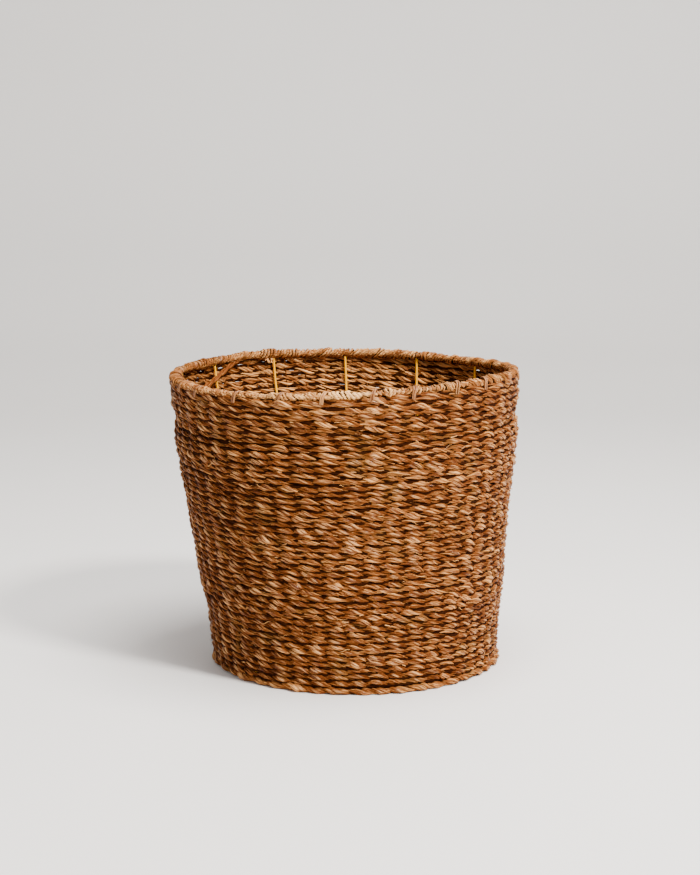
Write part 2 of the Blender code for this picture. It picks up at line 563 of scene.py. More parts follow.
class Graph:
    """The node tree of one material, with its Principled shader."""

    def __init__(self, name: str) -> None:
        """Makes the material and finds its shader.

        Args:
            name: the material's name.
        """
        self.material = bpy.data.materials.new(name)
        self.material.use_nodes = True
        self.tree = self.material.node_tree
        self.shader = self.tree.nodes["Principled BSDF"]

    def node(self, kind: str, settings: dict, inputs: dict, output: int | str = 0) -> Signal:
        """Adds any node.

        Args:
            kind: Blender's node type.
            settings: properties that are set first. A ramp's stops go under "stops".
            inputs: values or signals of its sockets, by name or index.
            output: the output that is handed back.

        Returns:
            The output as a signal.
        """
        made = self.tree.nodes.new(kind)
        for key, value in settings.items():
            if key == "stops":
                self.set_stops(made.color_ramp, value)
            else:
                setattr(made, key, value)
        for key, value in inputs.items():
            self.feed(made.inputs[key], value)
        return Signal(self, made.outputs[output])

    @staticmethod
    def set_stops(ramp: bpy.types.ColorRamp, stops: Iterable[tuple]) -> None:
        """Gives a colour ramp its stops.

        Args:
            ramp: the ramp.
            stops: the stops, as (place, colour).
        """
        stops = list(stops)
        while len(ramp.elements) < len(stops):
            ramp.elements.new(0.5)
        for element, (place, colour) in zip(ramp.elements, stops):
            element.position = place
            element.color = (*colour, 1)

    def feed(self, socket: bpy.types.NodeSocket, value: "Signal | float | tuple") -> None:
        """Links a signal to a socket, or sets its value.

        Args:
            socket: the socket.
            value: the signal or the value.
        """
        if isinstance(value, Signal):
            self.tree.links.new(value.socket, socket)
        else:
            socket.default_value = value

    def surface(self, inputs: dict) -> None:
        """Feeds sockets of the shader, by name."""
        for name, value in inputs.items():
            self.feed(self.shader.inputs[name], value)

    def attribute(self, name: str, output: str = "Fac") -> Signal:
        """Reads an attribute of the piece."""
        return self.node("ShaderNodeAttribute", {"attribute_name": name}, {}, output)

    def place(self) -> Signal:
        """Object coordinates."""
        return self.node("ShaderNodeTexCoord", {}, {}, "Object")

    def stretch(self, vector: Signal, scale: tuple) -> Signal:
        """A vector with each part multiplied."""
        return self.node("ShaderNodeVectorMath", {"operation": "MULTIPLY"}, {0: vector, 1: scale})

    def noise(self, vector: Signal, scale: float, detail: float = 2.0, rough: float = 0.5) -> Signal:
        """Noise about 0 to 1."""
        inputs = {"Vector": vector, "Scale": scale, "Detail": detail, "Roughness": rough}
        return self.node("ShaderNodeTexNoise", {}, inputs)

    def ramp(self, factor: Signal, stops: Iterable[tuple]) -> Signal:
        """A colour ramp."""
        return self.node("ShaderNodeValToRGB", {"stops": stops}, {"Fac": factor}, "Color")

    def blend(self, factor: "Signal | float", low: "Signal | tuple", high: "Signal | tuple") -> Signal:
        """Mixes two colours."""
        inputs = {0: factor, 6: self.colour(low), 7: self.colour(high)}
        return self.node("ShaderNodeMix", {"data_type": "RGBA"}, inputs, 2)

    @staticmethod
    def colour(value: "Signal | tuple") -> "Signal | tuple":
        """A colour with its alpha, or the signal as it is."""
        return value if isinstance(value, Signal) else (*value, 1.0)

    def bump(self, height: Signal, distance: float, strength: float) -> None:
        """Feeds the shader's normal from a height."""
        inputs = {"Height": height, "Distance": distance, "Strength": strength}
        self.surface({"Normal": self.node("ShaderNodeBump", {}, inputs)})


@dataclass(frozen=True)
class SeagrassFinish:
    """Dried seagrass twisted into strands: fibres along each ply, painted shade in the crossings, hollows
    and grooves, and crests paler with wear and a painted highlight.

    A range holds the two values between which a mask goes from 0 to 1, a share how much of a colour shows.
    """

    name: str
    dark: tuple
    middle: tuple
    pale: tuple
    ramp_places: tuple = (0.08, 0.48, 0.94)
    # Painted shade: the near-black colour mixed into the crossings, hollows and grooves between plies, by
    # depth.
    painted_crevice_shade: tuple = (0.016, 0.0030, 0.0004)
    painted_shade_range: tuple = (0.07, 0.35)
    painted_shade_share: float = 0.97
    # Wear and a painted highlight: the pale colour mixed onto the crests.
    wear_and_highlight: tuple = (1.0, 0.52, 0.185)
    painted_highlight_range: tuple = (0.64, 1.00)
    painted_highlight_fibres: tuple = (0.42, 0.60)
    wear_and_highlight_share: float = 0.44
    speck_scale: float = 300.0
    speck_rough: float = 0.6
    speck_range: tuple = (0.62, 0.75)
    speck_share: float = 0.25
    olive: tuple = (0.240, 0.125, 0.030)
    olive_scale: float = 38.0
    olive_range: tuple = (0.56, 0.68)
    olive_share: float = 0.25
    fibre_scale: float = 900.0
    fibre_length: float = 60.0
    patch_scale: float = 9.0
    fine_contrast: float = 1.35
    broad_contrast: float = 0.16
    patch_contrast: float = 0.08
    roughness: float = 0.50
    fibre_roughness: float = 0.35
    crossing_roughness: float = 0.3
    sheen: float = 0.38
    sheen_range: tuple = (0.62, 1.0)
    sheen_roughness: float = 0.25
    gloss: float = 0.03
    fibre_height: float = 0.0012

    def build(self) -> bpy.types.Material:
        """Builds the material's nodes.

        Returns:
            The material.
        """
        graph = Graph(self.name)
        strand, depth = graph.attribute("strand", "Vector"), graph.attribute("depth")
        place = graph.place()
        length, across = self.fibre_length, self.fibre_scale
        fine = graph.noise(graph.stretch(strand, (length, across, across)), 1.0, 3.0)
        broad = graph.noise(graph.stretch(strand, (length / 2, across / 3, across / 3)), 1.0)
        patch = graph.noise(place, self.patch_scale)
        speck = graph.noise(place, self.speck_scale, rough=self.speck_rough)
        tone = graph.attribute("tone") + (fine - 0.5) * self.fine_contrast
        tone = tone + (broad - 0.5) * self.broad_contrast + (patch - 0.5) * self.patch_contrast
        colour = graph.ramp(tone.clamp(), zip(self.ramp_places, (self.dark, self.middle, self.pale)))
        olive = graph.noise(place, self.olive_scale).between(*self.olive_range)
        colour = graph.blend(olive * self.olive_share, colour, self.olive)
        # Painted highlight, partly wear: the crests, where the fibres allow, are mixed towards the pale
        # colour.
        crest = depth.between(*self.painted_highlight_range) * fine.between(*self.painted_highlight_fibres)
        bright = crest * self.wear_and_highlight_share + speck.between(*self.speck_range) * self.speck_share
        colour = graph.blend(bright, colour, self.wear_and_highlight)
        # Painted shade: where the depth is low, in the crossings, hollows and grooves, the colour goes
        # near-black.
        deep = 1 - depth.between(*self.painted_shade_range)
        rough = self.roughness + (fine - 0.5) * self.fibre_roughness + deep * self.crossing_roughness
        graph.surface({
            "Base Color": graph.blend(deep * self.painted_shade_share, colour, self.painted_crevice_shade),
            "Roughness": rough.clamp(),
            "Coat Weight": depth.between(*self.sheen_range) * self.sheen,
            "Coat Roughness": self.sheen_roughness,
            "Specular IOR Level": self.gloss,
        })
        graph.bump(fine + broad, self.fibre_height, 1.0)
        return graph.material


@dataclass(frozen=True)
class PaintFinish:
    """Golden paint on steel wire: a satin coat with faint runs and small dull spots."""

    name: str = Zone.FRAME.value
    colour: tuple = (1.00, 0.45, 0.001)
    # On the paint, this colour is wear only: the dull spots.
    wear_and_highlight: tuple = (0.82, 0.34, 0.001)
    wear_and_highlight_share: float = 0.6
    spot_scale: float = 330.0
    spot_range: tuple = (0.56, 0.70)
    run_scale: tuple = (400.0, 400.0, 40.0)
    run_height: float = 0.0003
    run_strength: float = 0.4
    roughness: float = 0.46
    spot_roughness: float = 0.25
    run_roughness: float = 0.1
    gloss: float = 0.06

    def build(self) -> bpy.types.Material:
        """Builds the material's nodes.

        Returns:
            The material.
        """
        graph = Graph(self.name)
        place = graph.place()
        runs = graph.noise(graph.stretch(place, self.run_scale), 1.0)
        spots = graph.noise(place, self.spot_scale, 3.0).between(*self.spot_range)
        rough = self.roughness + spots * self.spot_roughness + runs * self.run_roughness
        graph.surface({
            "Base Color": graph.blend(spots * self.wear_and_highlight_share, self.colour, self.wear_and_highlight),
            "Roughness": rough.clamp(),
            "Specular IOR Level": self.gloss,
        })
        graph.bump(runs, self.run_height, self.run_strength)
        return graph.material


@dataclass
class Wardrobe:
    """The finishes, built once each. Seagrass has three colours, for its dark, middling and pale fibres."""

    brown: tuple = ((0.070, 0.014, 0.002), (0.215, 0.062, 0.012), (1.000, 0.480, 0.150))
    pale: tuple = ((0.090, 0.022, 0.004), (0.300, 0.100, 0.021), (0.940, 0.520, 0.195))
    straw: tuple = ((0.100, 0.026, 0.005), (0.320, 0.110, 0.026), (0.960, 0.560, 0.240))
    # The lashings' crest colour: wear and a painted highlight.
    straw_wear_and_highlight: tuple = (0.62, 0.30, 0.12)
    finishes: dict[Zone, bpy.types.Material] = field(init=False)

    def __post_init__(self) -> None:
        """Builds every material of the basket."""
        seagrass = (
            SeagrassFinish(Zone.WALL.value, *self.brown),
            SeagrassFinish(Zone.HEEL.value, *self.brown),
            SeagrassFinish(Zone.BASE.value, *self.brown),
            SeagrassFinish(Zone.WHIPPING.value, *self.pale),
            SeagrassFinish(Zone.LASHING.value, *self.straw, wear_and_highlight=self.straw_wear_and_highlight),
        )
        self.finishes = {Zone(finish.name): finish.build() for finish in (*seagrass, PaintFinish())}

    def dress(self, piece: bpy.types.Object, zone: Zone, *nodes: str) -> None:
        """Gives a piece its finish and its place on the basket, and logs it.

        Args:
            piece: the piece.
            zone: the part of the basket that it belongs to.
            nodes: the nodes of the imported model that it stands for.
        """
        piece.data.materials.append(self.finishes[zone])
        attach(piece, "root")
        if nodes:
            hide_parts(*nodes)
        LOG.info("%s: %d faces", piece.name, len(piece.data.polygons))


@dataclass(frozen=True)
class Ply:
    """One ply of a course, in the course's own coordinates: through the wall and along its height."""

    angle: np.ndarray
    through: np.ndarray
    along: np.ndarray
    radii: np.ndarray
    tone: np.ndarray
    core_through: np.ndarray
    core_along: np.ndarray


@dataclass(frozen=True)
class TwinedCourse:
    """One closed course: two strands of some plies each, twined round an even number of stakes.

    Sizes are in metres and slack in radians. Turns are how often a strand twists once round the basket, and
    a spread is a share of what it changes.
    """

    stakes: int
    samples: int = 8
    plies_each: int = 3
    swing: float = 0.0018
    swing_spread: float = 0.18
    inward_share: float = 0.7
    steepness: float = 0.6
    step: float = 0.0011
    step_spread: float = 0.50
    lift: float = 0.0015
    stray: float = 0.0006
    slip_spread: float = 0.11
    orbit: float = 0.00192
    ply: float = 0.00170
    ply_spread: float = 0.10
    flat_share: float = 0.80
    squeeze_share: float = 0.40
    uneven_share: float = 0.13
    fat_share: float = 0.05
    fat_growth: tuple = (0.20, 0.45)
    turns: tuple = (24, 38)
    slack: float = 1.0
    splice_tone: float = 0.05
    ply_tone: float = 0.08

    @property
    def crest(self) -> float:
        """How far the highest crests are from the middle of the wall."""
        return self.swing + self.flat_share * self.orbit + self.ply

    def plies(self, chance: Chance, tone: float, size: float = 1.0, nudge: float = 0.0) -> Iterable[Ply]:
        """Works out the plies of the course.

        Args:
            chance: the source of chance.
            tone: the course's mean tone.
            size: how thick its strands are, for their kind.
            nudge: how far the course has slipped round the stakes, in stitches.

        Yields:
            The plies.
        """
        stitch = np.arange(self.stakes * self.samples) / self.samples
        slip = nudge + chance.eased(self.stakes, self.slip_spread, stitch)
        angle = (stitch + slip) * TAU / self.stakes
        for strand in range(2):
            phase = math.pi * (stitch + strand)
            fat = chance.rng.random(self.stakes) < self.fat_share
            gauge = 1 + chance.ring(self.stakes, self.uneven_share)
            gauge = gauge + fat * chance.rng.uniform(*self.fat_growth, self.stakes)
            gauge = size * chance.along(gauge, stitch)
            swell = 1 + chance.eased(self.stakes, self.swing_spread, stitch)
            stray = chance.eased(self.stakes, self.stray, stitch)
            tilt = 1 + chance.eased(self.stakes, self.step_spread, stitch)
            squeeze = gauge * (1 - self.squeeze_share * np.sin(phase) ** 2)
            dive = np.cos(phase)
            through = self.swing * swell * np.sign(dive) * np.abs(dive) ** self.steepness
            through = np.where(through < 0, self.inward_share * through, through)
            along = stray - self.step * tilt * np.sin(phase) + self.lift * np.cos(phase)
            slack = chance.eased(self.stakes * 2 // 3, self.slack, stitch * 2 / 3)
            turns = chance.rng.integers(*self.turns)
            twist = chance.rng.uniform(0, TAU) + slack - turns * stitch * TAU / self.stakes
            spliced = tone + chance.eased(self.stakes // 6, self.splice_tone, stitch / 6)
            for side in np.arange(self.plies_each) * TAU / self.plies_each:
                lump = 1 + chance.eased(2 * self.stakes, self.ply_spread, stitch * 2)
                yield Ply(
                    angle,
                    through + self.flat_share * self.orbit * squeeze * np.cos(twist + side),
                    along + self.orbit * squeeze * np.sin(twist + side),
                    self.ply * squeeze * lump,
                    spliced + chance.eased(self.stakes // 2, self.ply_tone, stitch / 2),
                    through,
                    along,
                )


@dataclass
class SeagrassWork:
    """What every seagrass part of the basket is built with.

    The sway is how the stakes stray round the basket, about -1 to 1, and stray is the most of it in radians.
    """

    shape: BasketShape
    wardrobe: Wardrobe
    chance: Chance
    sway: Field
    stray: float = 0.014

    def strayed(self, angle: np.ndarray, height: np.ndarray) -> np.ndarray:
        """Angles moved to where the stakes stray to."""
        return angle + self.stray * self.sway(angle, height)


@dataclass
class TwinedWall(SeagrassWork):
    """The wall: courses of twined strands from the heel up to the rim.

    Waves are (how many are added, most round the basket, most radians per metre of height).
    """

    bands: int = 10
    sides: int = 6
    tone: float = 0.43
    tone_spread: float = 0.025
    # Painted light: the strands' inner faces are painted paler.
    painted_light_inside: float = 0.18
    # Painted shade: the left side, away from the light, is painted darker.
    painted_shade_left: float = -0.085
    low_tone: float = 0.06
    size_range: tuple = (0.98, 1.08)
    uneven_share: float = 0.07
    slip_spread: float = 0.12
    rise_waves: tuple = (14, 7, 60.0)
    bulge_waves: tuple = (14, 6, 45.0)
    wave_height: float = 0.0014
    wave_radius: float = 0.0010
    proud: float = 0.0006
    left_swell: float = 0.0010
    low_lap: float = 0.0016
    top_stakes: int = 38
    top_lap: float = 0.0009
    top_growth: float = 0.22
    top_courses: int = 3
    binding_size: float = 0.60
    # Painted shade: dark rings deep in the wall that fill the gaps between courses.
    painted_shade_ring: float = 0.0022
    painted_shade_ring_samples: int = 4
    painted_shade_ring_spread: float = 0.19
    painted_shade_ring_growth: float = 1.04
    painted_shade_ring_last: float = 0.8
    painted_shade_ring_depth: float = 8.0
    painted_shade_ring_tone: float = 0.2
    loose_courses: int = 6
    rise: Field = field(init=False)
    bulge: Field = field(init=False)

    def __post_init__(self) -> None:
        """Draws how the courses wander up and down, and how the wall wanders in and out."""
        self.rise = self.chance.ripple(*self.rise_waves)
        self.bulge = self.chance.ripple(*self.bulge_waves)

    def build(self) -> None:
        """Builds the wall in bands of courses, each one piece."""
        courses = self.shape.courses
        edges = np.linspace(0, courses, self.bands + 1).round().astype(int)
        for band, (low, high) in enumerate(zip(edges[:-1], edges[1:])):
            piece = StrandPiece(f"wall_courses_{band + 1}", self.sides)
            for number in range(low, high):
                self.add_course(piece, number)
                self.add_painted_shade_ring(piece, number)
            if high == courses:
                self.add_painted_shade_ring(piece, high)
                self.add_course(piece, high)
            self.wardrobe.dress(piece.build(), Zone.WALL, "woven_wall")

    def stand_out(self, angle: np.ndarray, level: np.ndarray) -> np.ndarray:
        """How far the middle of the wall stands out of its true place, most on the left side.

        Args:
            angle: angles round the basket.
            level: heights above the floor.

        Returns:
            The distance at each place.
        """
        left = np.clip(np.sin(angle), 0, None)
        return self.proud + self.left_swell * left**2 + self.wave_radius * self.bulge(angle, level)

    def add_course(self, piece: StrandPiece, number: int) -> None:
        """Adds one course to a piece.

        Args:
            piece: the piece.
            number: the course, from the heel up. The thin one above the last binds the wall to the rim.
        """
        shape, rng = self.shape, self.chance.rng
        top, binding = number >= shape.courses - 1, number == shape.courses
        course = TwinedCourse(self.top_stakes, fat_share=0.0) if top else TwinedCourse(shape.stakes)
        uneven = rng.uniform(-self.uneven_share, self.uneven_share)
        share = np.clip((number + 0.5 + uneven) / shape.courses, 0, 1)
        thickness = float(shape.thickness(np.array(share)))
        middle = float(shape.outer(np.array([share]))[0]) - thickness / 2
        near_rim = max(0.0, 1 - abs(shape.courses - 1 - number) / self.top_courses)
        height = float(shape.wall_z(share)) + near_rim * self.top_lap - (number == 0) * self.low_lap
        narrow = thickness / shape.wall_thickness
        size = rng.uniform(*self.size_range) + self.top_growth * near_rim
        size = self.binding_size if binding else size
        tone = self.tone + rng.normal(0, self.tone_spread)
        for ply in course.plies(self.chance, tone, size, rng.normal(0, self.slip_spread)):
            level = np.full_like(ply.angle, height)
            angle = self.strayed(ply.angle, level)
            radius = middle + self.stand_out(angle, level)
            up = level + self.wave_height * self.rise(angle, level)
            points = shape.place(radius + ply.through * narrow, angle, up + ply.along)
            core = shape.place(radius + ply.core_through * narrow, angle, up + ply.core_along)
            # The relief paints shade into the crossings and grooves, highlights onto the crests, and light
            # onto the inner faces.
            relief = Relief(
                shape.outward(angle),
                ply.through,
                course.crest,
                painted_light_inside=self.painted_light_inside,
                from_core=points - core,
                core_reach=ply.radii * (1 + course.orbit / course.ply),
            )
            # Painted shade on the left side, away from the light; also darker towards the bottom.
            darker = self.painted_shade_left * np.clip(np.sin(angle), 0, None) - self.low_tone * (1 - share) ** 2
            piece.add(points, ply.radii, ply.tone + darker, relief, closed=True)

    def add_painted_shade_ring(self, piece: StrandPiece, number: int) -> None:
        """Adds a dark ring deep in the wall below a course, uneven near the rim, where light shows: painted
        shade that fills the gaps between courses.

        Args:
            piece: the piece.
            number: the course, from the heel up.
        """
        shape = self.shape
        stitch = np.arange(shape.stakes * self.painted_shade_ring_samples) / self.painted_shade_ring_samples
        angle = stitch * TAU / shape.stakes
        share = np.array([number / shape.courses])
        middle = float(shape.outer(share)[0] - shape.thickness(share)[0] / 2)
        level = np.full_like(angle, float(shape.wall_z(share)[0]))
        loose = number > shape.courses - self.loose_courses
        uneven = self.chance.eased(2 * shape.stakes, self.painted_shade_ring_spread, stitch * 2)
        growth = self.painted_shade_ring_last if number == shape.courses else self.painted_shade_ring_growth
        radii = self.painted_shade_ring * (1 + uneven * loose) * growth
        hidden = Relief(shape.outward(angle), 0 * angle, self.painted_shade_ring_depth * self.painted_shade_ring)
        up = level + self.wave_height * self.rise(angle, level)
        points = shape.place(middle + self.stand_out(angle, level), angle, up)
        piece.add(points, radii, self.painted_shade_ring_tone, hidden, closed=True)


@dataclass
class Stakes(SeagrassWork):
    """The stakes that stand inside the wall, from the heel to the rim."""

    sides: int = 6
    points: int = 24
    radius: float = 0.0013
    depth: float = 4.0
    tone_range: tuple = (0.25, 0.45)

    def build(self) -> None:
        """Builds all the stakes as one piece."""
        piece = StrandPiece("stakes", self.sides)
        shape = self.shape
        heights = np.linspace(shape.wall_bottom, shape.wall_top + shape.whipping, self.points)
        share = np.clip(shape.share_at(heights), 0, 1)
        middle = shape.outer(share) - shape.thickness(share) / 2
        for number in range(shape.stakes):
            angle = self.strayed(number * TAU / shape.stakes + 0 * heights, heights)
            # Painted shade: the stakes lie deep, so the finish paints them as dark as the crossings.
            hidden = Relief(shape.outward(angle), 0 * angle, self.depth * self.radius)
            tone = self.chance.pick(self.tone_range)
            piece.add(shape.place(middle, angle, heights), self.radius, tone, hidden)
        self.wardrobe.dress(piece.build(), Zone.WALL)


@dataclass
class HeelCourse(SeagrassWork):
    """The thicker course that the wall stands on."""

    sides: int = 8
    drop: float = 0.0003
    proud: float = 0.0020
    tone: float = 0.44
    course: TwinedCourse = TwinedCourse(
        stakes=44,
        samples=12,
        swing=0.0019,
        step=0.0013,
        lift=0.0,
        orbit=0.0023,
        ply=0.0023,
        flat_share=1.0,
        turns=(24, 32),
    )

    def build(self) -> None:
        """Builds the heel course: long flat stitches, spread where they meet the floor."""
        shape = self.shape
        piece = StrandPiece("heel_strands", self.sides)
        middle = shape.base_radius - shape.heel_thickness / 2 + self.proud
        for ply in self.course.plies(self.chance, self.tone):
            level = np.full_like(ply.angle, shape.heel_thickness / 2 - self.drop)
            angle = self.strayed(ply.angle, level)
            up = np.maximum(level + ply.along, ply.radii + shape.clearance)
            relief = Relief(shape.outward(angle), ply.through, self.course.crest)
            piece.add(shape.place(middle + ply.through, angle, up), ply.radii, ply.tone, relief, closed=True)
        self.wardrobe.dress(piece.build(), Zone.HEEL, "heel_course")


@dataclass
class WovenBase(SeagrassWork):
    """The base: rings of twined strands round radial stakes, arched a little in the middle."""

    sides: int = 6
    samples: int = 6
    pitch: float = 0.0066
    strand: float = 0.0027
    strand_spread: float = 0.09
    swing: float = 0.0014
    sway_share: float = 0.3
    hub: float = 0.002
    slip: tuple = (-0.1, 0.1)
    stitch_share: float = 2.6
    stake_counts: tuple = (6, 12, 24, 48)
    stake: float = 0.0013
    stake_points: int = 16
    stake_depth: float = 4.0
    stake_tone: float = 0.35
    tone: float = 0.40
    tone_spread: float = 0.14

    def arch(self, radius: np.ndarray) -> np.ndarray:
        """How far the base is raised above where it lies flat.

        Args:
            radius: distances from the middle of the base.

        Returns:
            The rise at each radius.
        """
        shape = self.shape
        flat_from = shape.base_radius - shape.heel_thickness - shape.clearance - shape.foot_width
        return shape.base_arch * np.clip(1 - (radius / flat_from) ** 2, 0, None)

    def stakes_at(self, radius: float) -> int:
        """How many stakes a ring crosses: new ones are added as the base grows."""
        wanted = TAU * radius / (self.stitch_share * self.pitch)
        return min(self.stake_counts, key=lambda count: abs(count - wanted))

    def build(self) -> None:
        """Builds the rings and the stakes of the base."""
        shape = self.shape
        piece = StrandPiece("base_strands", self.sides)
        edge = shape.base_radius - shape.heel_thickness - self.strand
        middle = shape.base_thickness / 2
        for radius in np.arange(edge, self.hub, -self.pitch):
            self.add_ring(piece, float(radius), middle)
        out = np.linspace(self.hub / 2, edge, self.stake_points)
        for number in range(shape.stakes // 2):
            angle = number * 2 * TAU / shape.stakes + 0 * out
            # Painted shade: the stakes lie deep, so the finish paints them as dark as the crossings.
            hidden = Relief(shape.upward(angle), 0 * angle, self.stake_depth * self.strand)
            points = shape.place(out, angle, middle + self.arch(out))
            piece.add(points, self.stake, self.stake_tone, hidden)
        self.wardrobe.dress(piece.build(), Zone.BASE, "woven_base")

    def add_ring(self, piece: StrandPiece, radius: float, middle: float) -> None:
        """Adds one ring of two strands.

        Args:
            piece: the piece.
            radius: the ring's radius.
            middle: the height of the base's middle where it lies flat.
        """
        shape, chance = self.shape, self.chance
        count = self.stakes_at(radius)
        stitch = np.arange(count * self.samples) / self.samples
        angle = (stitch + chance.pick(self.slip)) * TAU / count
        for strand in range(2):
            phase = math.pi * (stitch + strand)
            gauge = self.strand * (1 + chance.eased(count, self.strand_spread, stitch))
            tone = self.tone + chance.eased(count, self.tone_spread, stitch)
            out = radius + self.sway_share * self.strand * np.sin(phase)
            through = self.swing * np.cos(phase)
            up = np.maximum(middle + self.arch(out) + through, gauge + shape.clearance)
            relief = Relief(shape.upward(angle), through, self.swing + self.strand)
            piece.add(shape.place(out, angle, up), gauge, tone, relief, closed=True)


@dataclass
class WhippedRim(SeagrassWork):
    """The rim: stake ends bundled with the hoop, under one long two-ply strand wound round them.

    Waves are as the wall's. A tone length is a length of the strand that is paler or darker than the rest:
    its middle and width round the basket in degrees, and how much paler it is. The darker one at the left
    side is painted shade.
    """

    sides: int = 6
    turns: int = 300
    samples: int = 26
    strand: float = 0.0022
    ply: float = 0.00136
    ply_spread: float = 0.08
    ply_tone: float = 0.03
    orbit: float = 0.00088
    gauge_spread: float = 0.17
    twists: float = 1.35
    slack: float = 0.9
    slip: float = 0.0005
    lean: float = -0.0034
    lean_waves: tuple = (16, 22, 0.0)
    lean_wave_share: float = 0.8
    lean_spread: float = 0.0008
    groove: float = 0.0020
    flatter: float = 0.0012
    flatter_side_share: float = 0.35
    lump: float = 0.0010
    lump_waves: tuple = (16, 34, 0.0)
    lump_spread: float = 0.0006
    bump_spread: float = 0.0003
    proud: float = 0.0003
    tone: float = 0.41
    tone_waves: tuple = (18, 30, 0.0)
    tone_wave: float = 0.05
    tone_spread: float = 0.10
    # The third length, darker at the left side, is painted shade, away from the light.
    ages: tuple = ((183.5, 5.4, 0.44), (180.0, 33.0, 0.23), (88.0, 34.0, -0.13))
    paler_back: float = 0.12
    core_points: int = 96
    core_drop: float = 1.5

    def tone_and_painted_shade(self, angle: np.ndarray) -> np.ndarray:
        """How much paler or darker the whipping is round the rim: its tone lengths, with painted shade at
        the left side, and paler at the back.

        Args:
            angle: angles round the basket.

        Returns:
            What is added to its tone.
        """
        degrees = np.degrees(angle % TAU)
        tone = 0 * angle
        for middle, width, paler in self.ages:
            tone = tone + paler * np.exp(-(((degrees - middle) / width) ** 2))
        return tone + self.paler_back * np.clip(np.cos(angle), 0, None)

    def build(self) -> None:
        """Builds the core and the two plies of the whipping."""
        self.build_core()
        shape, chance = self.shape, self.chance
        swell = chance.ripple(*self.lump_waves)
        sway = chance.ripple(*self.lean_waves)
        shade = chance.ripple(*self.tone_waves)
        turn = np.arange(self.turns * self.samples) / self.samples
        minor = turn * TAU
        angle = turn / self.turns * TAU
        level = 0 * angle
        tone = self.tone + self.tone_wave * shade(angle, level) + self.tone_and_painted_shade(angle)
        tone = tone + chance.eased(self.turns // 2, self.tone_spread, turn / 2)
        gauge = 1 + chance.eased(self.turns, self.gauge_spread, turn)
        puff = self.lump * swell(angle, level) + chance.eased(self.turns // 2, self.lump_spread, turn / 2)
        puff = puff + self.proud + chance.eased(self.turns * 2, self.bump_spread, turn * 2)
        lean = self.lean * (1 + self.lean_wave_share * sway(angle, level))
        lean = lean + chance.eased(self.turns, self.lean_spread, turn)
        slip = chance.eased(self.turns, self.slip, turn)
        angle = angle + (lean * np.sin(minor) + slip) / shape.rim_ring
        wide = shape.rim_width / 2 - self.strand + puff
        side = self.flatter_side_share
        tall = shape.rim_roll / 2 - self.strand + puff - self.flatter * (side - (1 - side) * np.cos(angle))
        away = shape.outward(angle) * np.cos(minor)[:, None] + shape.upward(angle) * np.sin(minor)[:, None]
        slack = chance.eased(self.turns, self.slack, turn)
        twist = slack + round(self.twists * self.turns) * angle
        for number, start in enumerate((0.0, math.pi)):
            out = self.orbit * gauge * np.cos(twist + start)
            along = self.orbit * gauge * np.sin(twist + start) / shape.rim_ring
            radius = shape.rim_ring + (wide + out) * np.cos(minor)
            points = shape.place(radius, angle + along, shape.rim_height + (tall + out) * np.sin(minor))
            crest = shape.rim_width / 2
            # Painted shade in the grooves between turns, and painted highlights on their tops, by this
            # relief.
            relief = Relief(away, wide - puff + out, crest, crest - self.groove)
            piece = StrandPiece(f"rim_whipping_{number + 1}", self.sides)
            lump = 1 + chance.eased(self.turns * 3, self.ply_spread, turn * 3)
            shift = self.ply_tone * (1 - 2 * number)
            piece.add(points, self.ply * gauge * lump, tone + shift, relief, closed=True)
            self.wardrobe.dress(piece.build(), Zone.WHIPPING, "rim_wrap")

    def build_core(self) -> None:
        """Builds the bundle inside the whipping, on either side of the hoop."""
        shape = self.shape
        core = StrandPiece("rim_core", self.sides)
        around = np.arange(self.core_points) * TAU / self.core_points
        slim = shape.rim_roll / 2 - self.core_drop * self.strand
        for radius in (shape.hoop_radius, 2 * shape.rim_ring - shape.hoop_radius):
            # Tone 0: the core is painted darkest, as painted shade in the gaps between the turns.
            core.add(shape.place(radius, around, shape.rim_height + 0 * around), slim, 0.0, closed=True)
        self.wardrobe.dress(core.build(), Zone.WHIPPING)


